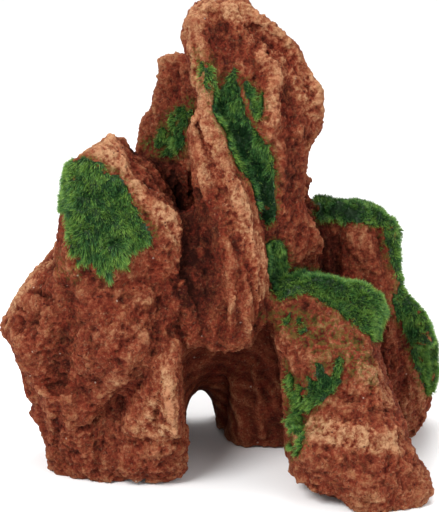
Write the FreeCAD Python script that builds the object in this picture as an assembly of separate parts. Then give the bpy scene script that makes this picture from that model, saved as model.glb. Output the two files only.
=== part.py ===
"""Resin cave ornament: cast rocks bonded round a fish tunnel, with flocked moss mats.

Millimetres, +Z up, front towards -Y. The rocks are laid out from a point on the floor
under the cave mouth, and MIDDLE then moves the origin under the middle of the ornament.
Each rock is a faceted casting. Where two rocks meet, both are sawn to a flat glue face
and a thin pad of resin mortar fills the joint between them.
"""
import FreeCAD, Part
import math
import os

V = FreeCAD.Vector

# Driving dimensions
MORTAR = 1.2          # thickness of the mortar between two glue faces
MAT = 2.4             # thickness of a moss mat, glue and fibres pressed flat
HALF_SPACE = 400.0    # size of the block that stands for a half space
REACH = 160.0         # how far a sketched outline sweeps in front of and behind its plane
SEW = 0.001           # sewing tolerance of the faceted shells
CRUMB = 60.0          # smallest volume in mm3 that is kept as a piece of its own
SKETCH_TILT = 17.0    # degrees that the sketch plane of the front mats leans back
SKETCH_HEIGHT = 92.0  # height of that sketch plane's origin above the floor
EDGE_LIFT = 0.22      # how far a section's points rise and fall, as a share of the spacing
CAVE_WAVE = 0.035     # unevenness of the cave wall, as a share of its size
ARCH_POWER = 0.8      # below 1 the cave's arches are squarer than half ellipses
FLOOR_DIP = 1.0       # how far the cave's open floor reaches below the ornament
MIDDLE = V(2.2, 1.3, 0)  # middle of the ornament's footprint box, from the layout point


# ---------------------------------------------------------------- faceted solids

def spline(stations, t):
    """Catmull-Rom value of a list of equal-length rows at t, from 0 to 1."""
    last = len(stations) - 1
    place = min(t * last, last - 1e-9)
    i = int(place)
    f = place - i
    a, b = stations[max(i - 1, 0)], stations[i]
    c, d = stations[i + 1], stations[min(i + 2, last)]
    return [0.5 * (2 * q + (r - p) * f + (2 * p - 5 * q + 4 * r - s) * f ** 2
                   + (3 * q - p - 3 * r + s) * f ** 3)
            for p, q, r, s in zip(a, b, c, d)]


# Ribs round a rock: share of its radius, number of ribs, phase, height of one radian in mm
RIBS = [(0.060, 3, 1.0, 23.0), (0.045, 5, -1.7, 15.0), (0.032, 8, 2.3, -11.0)]


def craggy(angle, height, seed):
    """Radius factor of a rock's outline, a few broad ribs that wander as they climb."""
    return sum(share * math.sin(count * angle + phase * seed + height / rise)
               for share, count, phase, rise in RIBS)


def outline(low_x, high_x, low_y, high_y, height, points, square, turn, seed):
    """One section of a rock: a rounded box with ribs, stretched to fill the four limits."""
    ring = []
    for k in range(points):
        angle = 2 * math.pi * k / points
        c, s = math.cos(angle), math.sin(angle)
        reach = (abs(c) ** square + abs(s) ** square) ** (-1.0 / square)
        reach *= 1 + craggy(angle, height, seed)
        ring.append((reach * math.cos(angle + turn), reach * math.sin(angle + turn)))
    min_x, max_x = min(p[0] for p in ring), max(p[0] for p in ring)
    min_y, max_y = min(p[1] for p in ring), max(p[1] for p in ring)
    return [(low_x + (x - min_x) / (max_x - min_x) * (high_x - low_x),
             low_y + (y - min_y) / (max_y - min_y) * (high_y - low_y)) for x, y in ring]


def solid_of(points, facets):
    """A closed solid from points and triangles, with flat neighbours merged."""
    shell = Part.Shape()
    shell.makeShapeFromMesh((points, facets), SEW)
    solid = Part.makeSolid(shell)
    if solid.Volume < 0:
        solid.reverse()
    return solid.removeSplitter()


def skin(rings, apex, base):
    """Triangles between stacked rings of equal length, with an apex point and a base point."""
    points = [p for ring in rings for p in ring] + [apex, base]
    n, top, bottom = len(rings[0]), len(points) - 2, len(points) - 1
    facets = []
    for level in range(len(rings) - 1):
        low, high = level * n, (level + 1) * n
        for k in range(n):
            m = (k + 1) % n
            if (k + level) % 2:
                facets += [(low + k, low + m, high + m), (low + k, high + m, high + k)]
            else:
                facets += [(low + k, low + m, high + k), (low + m, high + m, high + k)]
    high = (len(rings) - 1) * n
    for k in range(n):
        m = (k + 1) % n
        facets += [(high + k, high + m, top), (m, k, bottom)]
    return solid_of(points, facets)


def rock(sections, seed, square=2.8, turn=0.0, points=20, layers=9, peak=2.0):
    """A boulder through horizontal sections (height, left, right, front, back)."""
    rings = []
    for level in range(layers):
        z, left, right, front, back = spline(sections, level / (layers - 1))
        flat = outline(left, right, front, back, z, points, square, math.radians(turn), seed)
        step = (sections[-1][0] - sections[0][0]) / (layers - 1)
        lift = 0.0 if level == 0 else EDGE_LIFT * step
        rings.append([V(x, y, z + lift * math.sin(2.0 * k + 3.1 * level + seed))
                      for k, (x, y) in enumerate(flat)])
    z, left, right, front, back = sections[-1]
    apex = V((left + right) / 2, (front + back) / 2, z + peak)
    z, left, right, front, back = sections[0]
    base = V((left + right) / 2, (front + back) / 2, z)
    return skin(rings, apex, base)


def tunnel(sections, points=14, layers=9):
    """The cave's empty space, through upright arches (depth, left, right, crown)."""
    rings = []
    for level in range(layers):
        y, left, right, crown = spline(sections, level / (layers - 1))
        half, middle = (right - left) / 2, (right + left) / 2
        ring = []
        for k in range(1, points - 1):
            angle = math.pi * k / (points - 1)
            wave = 1 + CAVE_WAVE * math.sin(3.0 * k + 1.3 * level)
            ring.append(V(middle + half * math.cos(angle) * wave, y,
                          crown * math.sin(angle) ** ARCH_POWER * wave))
        rings.append([V(right, y, -FLOOR_DIP)] + ring + [V(left, y, -FLOOR_DIP)])
    first, last = sections[0], sections[-1]
    back = V((last[1] + last[2]) / 2, last[0], last[3] / 3)
    front = V((first[1] + first[2]) / 2, first[0], first[3] / 3)
    return skin(rings, back, front)


def beyond(point, normal):
    """The half space on the far side of a plane, as a large block."""
    corner = Part.makePlane(HALF_SPACE, HALF_SPACE,
                            V(-HALF_SPACE / 2, -HALF_SPACE / 2, 0), V(0, 0, 1))
    block = corner.extrude(V(0, 0, HALF_SPACE))
    block.Placement = FreeCAD.Placement(point, FreeCAD.Rotation(V(0, 0, 1), normal))
    return block


def prism(points, view, reach=REACH):
    """The block that a sketched outline sweeps from REACH in front of its plane to reach behind."""
    origin, across, up = view
    sight = up.cross(across)
    corners = [origin - sight * REACH + across * u + up * v for u, v in points]
    return Part.Face(Part.makePolygon(corners + corners[:1])).extrude(sight * (REACH + reach))


def largest(shape):
    """The biggest solid of a shape, without the crumbs that a cut leaves."""
    return max(shape.Solids, key=lambda solid: solid.Volume)


def touches(a, b):
    """Whether the boxes round two shapes meet, so that a cut between them is worth making."""
    return a.BoundBox.intersect(b.BoundBox)


# Sketch planes: origin, direction of the first number, direction of the second number
LEAN = math.radians(SKETCH_TILT)
FRONT = (V(0, 0, SKETCH_HEIGHT), V(1, 0, 0), V(0, math.sin(LEAN), math.cos(LEAN)))
REAR = (V(0, 0, SKETCH_HEIGHT), V(-1, 0, 0), V(0, 0, 1))


# ---------------------------------------------------------------- the castings
# Sections are (height, left, right, front, back). A profile is the rock's outline on
# the FRONT sketch plane, which trims the block to its shape.

def left_foot():
    """The broad stone that carries the left side."""
    block = rock([(0, -70, -12.5, -27, 31), (12, -74, -12.5, -29, 33), (26, -79, -13, -31, 35),
                  (37, -84, -13, -34, 38), (52, -87, -12, -37, 38)],
                 seed=1.2, turn=8, points=24, layers=11)
    profile = [(-90, -35), (-81, -60), (-78, -72), (-74, -80), (-72, -92), (-66, -96), (-47, -98),
               (-30, -97), (-12, -93), (-11, -60), (-8, -30)]
    return block.common(prism(profile, FRONT))


def left_heel_stone():
    """A small stone against the outside of the left foot."""
    block = rock([(0, -75, -58, -20, 20), (12, -80, -61, -22, 23), (24, -83, -64, -22, 22),
                  (36, -86, -67, -20, 20), (46, -84, -70, -14, 14)],
                 seed=4.0, points=18, layers=9)
    profile = [(-84, -45), (-81, -58), (-79, -63), (-81, -67), (-77, -73), (-74, -79), (-73, -91),
               (-69, -95), (-50, -97), (-50, -40)]
    return block.common(prism(profile, FRONT))


def left_toe_cobble():
    """The cobble at the front of the left foot."""
    block = rock([(0, -42, -13, -29, -10), (8, -45, -12.5, -34, -10), (17, -43, -12.5, -34, -10),
                  (24, -38, -15, -31, -12)], seed=2.6, points=18, layers=7)
    profile = [(-50, -60), (-50, -90), (-42, -97), (-28, -98), (-16, -94), (-12, -89), (-11, -75),
               (-14, -60)]
    return block.common(prism(profile, FRONT))


def flowstone_rib():
    """The pale stone that runs down beside the cave mouth."""
    return rock([(18, -30, -13.5, -36, -14), (25, -30, -13, -41, -12), (34, -27, -13, -42, -12),
                 (46, -25, -14, -43, -12), (58, -23, -15, -41, -14), (66, -20, -16, -36, -18)],
                seed=0.4, points=18, layers=10, peak=2)


def left_shoulder():
    """The widest stone on the left, which juts outward over the foot."""
    block = rock([(32, -84, -13, -29, 34), (42, -88, -12, -34, 38), (55, -91, -8, -42, 40),
                  (64, -95, -5, -45, 41), (73, -91, -5, -44, 41), (82, -84, -6, -41, 40),
                  (92, -76, -10, -37, 37), (102, -68, -14, -31, 34)],
                 seed=2.2, turn=-12, square=2.4, points=26, layers=15)
    profile = [(-66, 12), (-75, -3), (-84, -14), (-87, -20), (-93, -29), (-92, -34), (-87, -38),
               (-86, -47), (-83, -56), (-80, -62), (-60, -75), (-10, -75), (0, -40), (0, 12)]
    return block.common(prism(profile, FRONT))


def left_crown():
    """The slanting block on top of the left side, with the largest moss mat."""
    block = rock([(78, -67, -12.5, -34, 32), (84, -68, -12.5, -37, 33), (101, -69, -12, -37, 32),
                  (110, -68, -14, -34, 30), (122, -69, -16, -27, 26), (136, -68, -19, -21, 20),
                  (148, -66, -21, -16, 12), (158, -60, -26, -12, 4)],
                 seed=5.1, turn=10, square=3.2, points=26, layers=15, peak=0.5)
    profile = [(-72, -20), (-69, 3), (-67, 15), (-65, 25), (-64, 37), (-58, 42), (-53, 45),
               (-45, 48), (-39, 49), (-36, 44), (-28, 39), (-21, 28), (-15, 16), (-13, 6),
               (-11, -20)]
    return block.common(prism(profile, FRONT))


def cave_vault():
    """The block that the passage is cut through; it carries the spire."""
    return rock([(0, -34, 44, 12, 56), (12, -35, 45, 9, 58), (26, -36, 46, 5, 58),
                 (50, -34, 46, 1, 57), (66, -32, 45, 0, 55), (76, -28, 42, 2, 52)],
                seed=3.3, square=3.6, points=28, layers=13)


def main_spire():
    """The tall stone at the centre, up to the summit."""
    block = rock([(60, 6, 43, -4, 36), (80, 4, 45, -8, 36), (100, 2, 44, -13, 33),
                  (114, 0, 38, -15, 31), (133, -4, 41, -16, 29), (144, -7, 46, -17, 29),
                  (154, -11, 48, -17, 28), (165, -16, 46, -17, 26), (175, -21, 41, -15, 24),
                  (184, -21, 35, -11, 21), (193, -18, 27, -6, 15), (200, -13, 17, -2, 8)],
                 seed=0.8, turn=16, square=2.6, points=28, layers=20, peak=1.0)
    profile = [(-12, 40), (-14, 83), (-16, 90), (-13, 96), (-12, 102), (-7, 106), (3, 107),
               (12, 105), (16, 98), (22, 96), (25, 92), (33, 86), (37, 76), (42, 67), (42, 53),
               (39, 48), (36, 38), (35, 28), (36, 21), (40, 14), (44, 5), (45, -50), (-14, -50)]
    return block.common(prism(profile, FRONT))


def spire_front_rib():
    """The pale rib that leans on the front of the spire and hangs over the cave mouth."""
    block = rock([(54, -10, 12, -26, 2), (60, -14, 17, -30, 8), (72, -15, 20.5, -32, 12),
                  (90, -15, 21, -31, 12), (112, -13, 20, -28, 8), (124, -13, 17, -27, 6),
                  (139, -15, 9, -25, 2), (152, -15, 4, -22, -2), (162, -12, 0, -20, -6),
                  (174, -10, -4, -17, -8)],
                 seed=1.9, square=2.3, points=24, layers=18, peak=2)
    profile = [(-9, 78), (-6, 67), (-10, 59), (-14, 50), (-12, 30), (-11, 5), (-10, -26),
               (-8, -37), (-2, -40), (9, -39), (14, -35), (20, -25), (20, -10), (21, 7), (19, 19),
               (14, 30), (8, 40), (2, 52), (-2, 62), (-5, 73)]
    return block.common(prism(profile, FRONT))


def spire_rear_shoulder():
    """The lower pinnacle behind the spire, on the left."""
    block = rock([(64, -38, 0, 14, 50), (90, -38, -3, 13, 49), (120, -40, -5, 12, 46),
                  (135, -41, -5, 13, 43), (144, -39, -3, 13, 39), (153, -37, -3, 13, 36),
                  (163, -33, -5, 13, 31), (173, -31, -9, 15, 26)],
                 seed=3.7, turn=-8, points=24, layers=16, peak=2)
    profile = [(5, 90), (-12, 87), (-17, 86), (-25, 83), (-25, 77), (-28, 64), (-33, 57),
               (-33, 52), (-36, 44), (-38, 20), (-39, -40), (5, -40)]
    return block.common(prism(profile, FRONT))


def rear_saddle():
    """The low stone behind the spire."""
    return rock([(64, -8, 40, 24, 54), (84, -8, 42, 24, 57), (102, -7, 42, 22, 55),
                 (114, -2, 38, 22, 50), (122, 8, 30, 22, 42)],
                seed=4.6, points=22, layers=12, peak=2)


def front_right_boulder():
    """The leaning boulder beside the cave mouth, with a domed mossy top."""
    block = rock([(18, 26, 79, -51, 12), (36, 26, 77, -48, 14), (46, 24, 75, -44, 15),
                  (56, 22, 73, -39, 15), (64, 20, 72, -34, 15), (72, 20.5, 74, -28, 12),
                  (79, 21.5, 72, -20, 8), (86, 25, 64, -12, 2)],
                 seed=2.9, turn=-14, square=2.9, points=26, layers=14, peak=1.0)
    profile = [(18, -35), (20, -13), (27, -10), (33, -9), (44, -9), (54, -11), (63, -14),
               (69, -19), (71, -24), (66, -30), (67, -41), (71, -51), (75, -60), (78, -75),
               (80, -95), (20, -95)]
    return block.common(prism(profile, FRONT))


def front_right_toe():
    """The stone in front on the right, the furthest forward."""
    block = rock([(0, 24, 97, -58, 10), (6, 23, 96, -60, 12), (14, 23, 90, -60, 13),
                  (24, 24, 83, -57, 13), (34, 26, 80, -52, 12)],
                 seed=5.8, turn=-6, square=3.8, points=28, layers=10)
    profile = [(24, -55), (25, -68), (25, -81), (28, -88), (32, -92), (42, -98), (54, -103),
               (66, -106), (79, -106), (85, -102), (88, -97), (87, -91), (83, -86), (80, -79),
               (77, -72), (77, -55)]
    return block.common(prism(profile, FRONT))


def rear_right_boulder():
    """The upright boulder behind on the right, with a mossy top and edge."""
    block = rock([(42, 36, 99, 8, 62), (57, 36, 97, 8, 62), (63, 35, 92, 8, 62),
                  (79, 33, 86, 11, 58), (98, 31, 80, 15, 50), (106, 31, 74, 17, 42),
                  (112, 33, 68, 20, 34)],
                 seed=1.5, turn=6, square=3.3, points=26, layers=14, peak=0.5)
    profile = [(30, -75), (32, 21), (40, 23), (57, 23), (65, 22), (70, 18), (76, 12), (77, -4),
               (78, -13), (82, -19), (88, -26), (90, -33), (94, -43), (94, -75)]
    return block.common(prism(profile, FRONT))


def rear_right_footing():
    """The stone under the rear right boulder."""
    block = rock([(0, 38, 98, 20, 58), (11, 37, 99, 14, 61), (24, 36, 100, 10, 62),
                  (36, 36, 100, 9, 63), (56, 36, 99, 10, 62)],
                 seed=0.2, turn=4, square=3.2, points=26, layers=11)
    profile = [(30, -20), (90, -20), (94, -43), (95, -52), (93, -60), (94, -67), (91, -73),
               (86, -81), (78, -84), (30, -100)]
    return block.common(prism(profile, FRONT))


def cave_space():
    """The fish passage: a tall mouth in front, narrowing to a small exit behind."""
    return tunnel([(-75, -13, 32, 58), (-30, -13, 30, 58), (-8, -13, 28.5, 57), (1, -14, 28, 53),
                   (7, -15, 26, 46), (12, -15, 10, 36), (21, -15, 3, 25), (35, -15, -2, 18.5),
                   (50, -16, -1, 19.5), (75, -18, 2, 22)], points=18, layers=19)


CASTINGS = (left_foot, left_heel_stone, left_toe_cobble, flowstone_rib, left_shoulder,
            left_crown, cave_vault, main_spire, spire_front_rib, spire_rear_shoulder,
            rear_saddle, front_right_boulder, front_right_toe, rear_right_boulder,
            rear_right_footing)

# Small stones that are carved to fit the finished rocks and mortar behind them
CARVED = ("flowstone_rib", "left_heel_stone")

# Glue joints: name, first rock, second rock, a point of the glue face, direction to the second
GLUE_JOINTS = [
    ("mortar_foot_shoulder", "left_foot", "left_shoulder", V(-48, 0, 43), V(0.10, -0.06, 1)),
    ("mortar_foot_heel", "left_foot", "left_heel_stone", V(-69, 0, 12), V(-1, -0.15, -0.45)),
    ("mortar_foot_toe", "left_foot", "left_toe_cobble", V(-28, -23.5, 10), V(0.45, -0.9, 0.1)),
    ("mortar_foot_vault", "left_foot", "cave_vault", V(-23, 20, 24), V(0.82, 0.57, 0)),
    ("mortar_shoulder_vault", "left_shoulder", "cave_vault", V(-20, 20, 58), V(0.82, 0.57, 0)),
    ("mortar_shoulder_crown", "left_shoulder", "left_crown", V(-40, 0, 90), V(0.06, -0.12, 1)),
    ("mortar_shoulder_rib", "left_shoulder", "spire_front_rib", V(-10, -12, 74), V(1, 0.1, 0.1)),
    ("mortar_shoulder_pinnacle", "left_shoulder", "spire_rear_shoulder",
     V(-23, 26, 84), V(0.68, 0.72, 0.15)),
    ("mortar_crown_pinnacle", "left_crown", "spire_rear_shoulder",
     V(-25, 22, 112), V(0.6, 0.8, 0)),
    ("mortar_vault_spire", "cave_vault", "main_spire", V(20, 18, 68), V(0, 0.1, 1)),
    ("mortar_vault_pinnacle", "cave_vault", "spire_rear_shoulder", V(-20, 34, 70), V(0, 0, 1)),
    ("mortar_vault_saddle", "cave_vault", "rear_saddle", V(16, 40, 70), V(0, 0.05, 1)),
    ("mortar_rib_vault", "spire_front_rib", "cave_vault", V(3, 4, 62), V(0, 1, -0.15)),
    ("mortar_rib_spire", "spire_front_rib", "main_spire", V(10, -3, 100), V(0.75, 0.62, 0.25)),
    ("mortar_spire_pinnacle", "spire_rear_shoulder", "main_spire",
     V(-7, 20, 145), V(0.8, -0.6, 0.05)),
    ("mortar_spire_saddle", "main_spire", "rear_saddle", V(18, 28, 95), V(0, 1, 0)),
    ("mortar_pinnacle_saddle", "spire_rear_shoulder", "rear_saddle",
     V(-5, 38, 92), V(1, 0.1, 0)),
    ("mortar_toe_boulder", "front_right_toe", "front_right_boulder",
     V(52, -20, 26), V(0, 0.22, 1)),
    ("mortar_boulder_spire", "front_right_boulder", "main_spire",
     V(31, 3, 73), V(-0.5, 0.75, 0.3)),
    ("mortar_boulder_vault", "front_right_boulder", "cave_vault", V(34, 8, 44), V(-0.45, 0.9, 0)),
    ("mortar_boulder_rear", "front_right_boulder", "rear_right_boulder",
     V(60, 12.5, 60), V(0.05, 1, 0)),
    ("mortar_boulder_footing", "front_right_boulder", "rear_right_footing",
     V(60, 11.5, 38), V(0, 1, 0)),
    ("mortar_footing_rear", "rear_right_footing", "rear_right_boulder",
     V(64, 36, 49), V(0, 0, 1)),
    ("mortar_spire_rear", "main_spire", "rear_right_boulder", V(39, 23, 88), V(0.92, 0.39, 0)),
    ("mortar_saddle_rear", "rear_saddle", "rear_right_boulder", V(38.5, 42, 90), V(1, 0, 0)),
    ("mortar_vault_footing", "cave_vault", "rear_right_footing", V(41, 36, 26), V(1, 0, 0)),
    ("mortar_vault_rear", "cave_vault", "rear_right_boulder", V(41, 36, 60), V(1, 0, 0)),
]


def assemble_rocks():
    """The rocks sawn at their glue joints, and the mortar that fills the joints."""
    raw = {make.__name__: make() for make in CASTINGS}
    rocks = dict(raw)
    joints = {}
    for name, first, second, point, direction in GLUE_JOINTS:
        normal = V(direction).normalize()
        near, far = point - normal * (MORTAR / 2), point + normal * (MORTAR / 2)
        past, before = beyond(near, normal), beyond(far, -normal)
        joints[name] = (first, second, past.common(before))
        rocks[first] = rocks[first].cut(past)
        rocks[second] = rocks[second].cut(before)
    passage = cave_space()
    for name, shape in rocks.items():
        if touches(shape, passage):
            shape = shape.cut(passage)
        rocks[name] = largest(shape)
    return raw, rocks, joints, passage


def mortar_pads(raw, rocks, joints, passage):
    """The mortar of each glue joint: the overlap of the two blocks, between their sawn faces.

    A joint whose overlap is no more than a crumb stays dry.
    """
    pads = {}
    for name, (first, second, slab) in joints.items():
        pad = raw[first].common(raw[second]).common(slab)
        others = [passage] + [rock for key, rock in rocks.items()
                              if key not in (first, second) + CARVED]
        for other in others + list(pads.values()):
            if pad.Solids and touches(pad, other):
                pad = pad.cut(other)
        if pad.Solids and largest(pad).Volume > CRUMB:
            pads[name] = largest(pad)
    return pads


def carve(rocks, pads):
    """Fit the small stones to whatever lies behind them."""
    for name in CARVED:
        others = [rock for key, rock in rocks.items() if key != name]
        for other in others + list(pads.values()):
            if touches(rocks[name], other):
                rocks[name] = largest(rocks[name].cut(other))


# ---------------------------------------------------------------- the moss
# A mat follows the rocks under its outline. It is made of copies of the covered rock,
# each moved off the surface along one of the mat's lifts, with the rock then cut away.

UP, FORWARD = V(0, 0, 1), V(0, -1, 0)
LEFTWARD, RIGHTWARD, BACKWARD = V(-1, 0, 0), V(1, 0, 0), V(0, 1, 0)

MATS = [
    ("moss_left_crown", ("left_crown", "left_shoulder"), FRONT, 12, (UP, FORWARD, LEFTWARD),
     [(-64, 37), (-56, 39), (-49, 36), (-42, 31), (-37, 25), (-35, 18), (-31, 14), (-27, 8),
      (-33, 3), (-36, 5), (-37, -4), (-42, -3), (-45, -10), (-50, -1), (-55, -3), (-57, 3),
      (-60, 18), (-65, 21), (-63, 28)]),
    ("moss_spire_groove", ("spire_front_rib", "main_spire"), FRONT, 12, (FORWARD, UP),
     [(6, 73), (-2, 65), (-3, 60), (4, 46), (12, 30), (19, 21), (21, 14), (23, 20), (22, 37),
      (20, 45), (13, 52), (10, 58)]),
    ("moss_spire_streak", ("main_spire", "spire_front_rib"), FRONT, 12, (FORWARD, UP),
     [(-8, 84), (-4, 76), (-2, 67), (-5, 67), (-8, 78)]),
    ("moss_spire_tuft", ("main_spire",), FRONT, 12, (FORWARD, UP),
     [(10, 68), (14, 68), (18, 58), (14, 57), (11, 62)]),
    ("moss_pinnacle", ("spire_rear_shoulder",), FRONT, 30, (FORWARD, UP, LEFTWARD),
     [(-30, 48), (-24, 50), (-20, 59), (-13, 63), (-10, 64), (-13, 56), (-16, 44), (-20, 43),
      (-27, 45)]),
    ("moss_spire_skirt", ("main_spire",), FRONT, 12, (FORWARD, UP),
     [(21, 6), (26, 6), (29, -2), (26, -9), (23, -13), (21, -6)]),
    ("moss_boulder_cap", ("front_right_boulder",), FRONT, 30, (UP, FORWARD, RIGHTWARD),
     [(20, -16), (21, -10), (33, -7), (54, -8), (65, -13), (73, -23), (67, -26), (64, -34),
      (56, -27), (44, -18), (36, -13), (25, -17)]),
    ("moss_boulder_band", ("front_right_boulder",), FRONT, 12, (FORWARD, UP),
     [(27, -47), (31, -55), (38, -51), (39, -46), (46, -48), (50, -42), (49, -50), (45, -56),
      (34, -64), (34, -76), (26, -76), (28, -64)]),
    ("moss_toe_band", ("front_right_toe",), FRONT, 0, (FORWARD, UP),
     [(26, -66), (34, -68), (34, -77), (30, -81), (25, -79)]),
    ("moss_boulder_fleck", ("front_right_boulder",), FRONT, 0, (FORWARD, UP),
     [(26, -26), (31, -23), (37, -33), (31, -33)]),
    ("moss_rear_crown", ("rear_right_boulder",), FRONT, 80, (UP, FORWARD),
     [(35, 20), (38, 26), (57, 27), (66, 25), (72, 13), (62, 15), (47, 16), (36, 16)]),
    ("moss_rear_edge", ("rear_right_boulder", "rear_right_footing"), FRONT, 62,
     (RIGHTWARD, FORWARD, UP),
     [(68, 18), (78, 15), (79, 0), (83, -17), (91, -26), (97, -45), (95, -60), (91, -60),
      (85, -48), (80, -32), (74, -20), (77, -10), (73, -2), (70, 11)]),
    ("moss_pinnacle_back", ("spire_rear_shoulder",), REAR, -20, (BACKWARD, UP),
     [(10, 40), (22, 45), (33, 36), (30, 20), (24, 8), (16, 12), (12, 24)]),
    ("moss_rear_edge_back", ("rear_right_boulder",), REAR, -20, (BACKWARD, UP, RIGHTWARD),
     [(-78, 12), (-58, 20), (-50, 12), (-60, 2), (-70, -10), (-82, -14)]),
]


def moss_mat(hosts, view, reach, lifts, points, obstacles):
    """One mat on the rocks given, clear of everything else."""
    block = prism(points, view, reach)
    copies = []
    for host in hosts:
        covered = host.common(block)
        copies += [covered.translated(lift * MAT) for lift in lifts if covered.Solids]
    mat = copies[0].multiFuse(copies[1:])
    for obstacle in obstacles:
        if touches(mat, obstacle):
            mat = mat.cut(obstacle)
    return largest(mat)


def main():
    """Write one STEP file for each rock, mortar pad and moss mat."""
    raw, rocks, joints, passage = assemble_rocks()
    pads = mortar_pads(raw, rocks, joints, passage)
    carve(rocks, pads)
    nodes = {**rocks, **pads}
    for name, hosts, view, reach, lifts, points in MATS:
        covered = [rocks[host] for host in hosts]
        nodes[name] = moss_mat(covered, view, reach, lifts, points, list(nodes.values()))
    os.makedirs("parts", exist_ok=True)
    for name, shape in nodes.items():
        shape.translated(-MIDDLE).exportStep("parts/%s.step" % name)


main()
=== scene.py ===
import itertools
import math

import bpy
import numpy as np
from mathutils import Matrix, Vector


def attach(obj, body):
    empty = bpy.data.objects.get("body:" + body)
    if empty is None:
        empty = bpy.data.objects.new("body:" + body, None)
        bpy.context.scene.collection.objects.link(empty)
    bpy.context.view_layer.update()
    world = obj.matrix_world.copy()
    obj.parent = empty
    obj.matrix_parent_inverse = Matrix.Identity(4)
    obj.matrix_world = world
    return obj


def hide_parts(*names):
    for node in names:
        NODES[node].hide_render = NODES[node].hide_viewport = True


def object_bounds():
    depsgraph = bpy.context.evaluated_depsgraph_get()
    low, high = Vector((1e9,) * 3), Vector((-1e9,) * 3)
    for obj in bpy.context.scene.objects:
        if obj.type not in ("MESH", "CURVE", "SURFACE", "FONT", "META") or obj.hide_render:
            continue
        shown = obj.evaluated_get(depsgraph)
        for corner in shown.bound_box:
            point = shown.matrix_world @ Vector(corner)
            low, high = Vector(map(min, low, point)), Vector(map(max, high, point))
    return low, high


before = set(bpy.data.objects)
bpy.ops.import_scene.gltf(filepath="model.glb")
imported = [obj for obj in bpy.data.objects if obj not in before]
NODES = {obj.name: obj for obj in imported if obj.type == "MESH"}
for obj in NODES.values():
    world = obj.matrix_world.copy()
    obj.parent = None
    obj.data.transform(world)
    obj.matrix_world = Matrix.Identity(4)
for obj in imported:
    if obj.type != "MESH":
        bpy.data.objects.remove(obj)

import openvdb
from mathutils import Vector

CAD_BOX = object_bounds()

# Lengths in this script are millimetres in the row frame until a mesh is made. Lines and points
# in layout mm are measured from LAYOUT instead.
MM = 0.001
LAYOUT = np.array([-2.2, -1.3, 0.0])   # the layout's origin, in the row frame
CELL = 1.2      # grid in which the big forms are carved
FINE = CELL / 2                        # grid that the surfaces are meshed on
BAND = 10.0                            # depth of the distance fields each side of a surface
BLEND = 1.4                            # width of the fillets where two rocks meet
CLOSE = 1.7                            # gaps up to twice this wide are filled under the paint
SEAM = 0.5                             # how far neighbouring rocks reach into each other
FOOT = 0.05                            # height at which the rocks are sawn flat
WORKED = 9.0                           # how far each side of the CAD surface the forms reach
DEEPEST, TALLEST = -7.5, 4.5           # limits of the forms' relief
FINE_REACH, BROAD_REACH = 2.2, 7.5     # how far the two measures of a hollow look around

ROCKS = [n for n in sorted(NODES) if not n.startswith(("mortar", "moss"))]
PADS = [n for n in sorted(NODES) if n.startswith("mortar")]
MATS = [n for n in sorted(NODES) if n.startswith("moss")]
# How much of a rock's relief runs in upright flutes: the rocks not listed have the least
LEAST_FLUTED = 0.1
FLUTED = {"main_spire": 0.45, "spire_front_rib": 1.0, "spire_rear_shoulder": 0.6,
          "rear_right_boulder": 1.0, "rear_right_footing": 0.7, "rear_saddle": 0.8,
          "flowstone_rib": 0.6}

# Creases that are packed with casting resin: radius in mm, then the line in layout mm
FILLS = [
    (7.0, [(-11, -22, 90), (-12, -23, 76), (-11, -21, 66)]),
    (6.0, [(-19, -24, 84), (-22, -25, 72)]),
    (7.0, [(-33, -29, 46), (-33, -28, 28)]),
    (6.5, [(-27, -32, 46), (-27, -32, 30)]),
    (5.0, [(-24, -36, 54), (-29, -34, 38), (-35, -29, 27)]),
    (4.0, [(-10, -5, 192), (-8, -11, 181), (-7, -13, 171)]),
    (8.5, [(-12, 45, 70), (16, 46, 70), (40, 45, 70)]),
    (8.0, [(40, 50, 84), (41, 51, 60), (41, 52, 30), (40, 50, 6)]),
    (8.0, [(-22, 38, 120), (-24, 39, 92), (-27, 42, 60), (-30, 40, 34), (-30, 38, 8)]),
]

# Broken faces: a point in layout mm and the direction that the flat face looks in
FACETS = {"left_crown": [((-46, -4, 147), (0.68, -0.20, 0.71))]}

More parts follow.
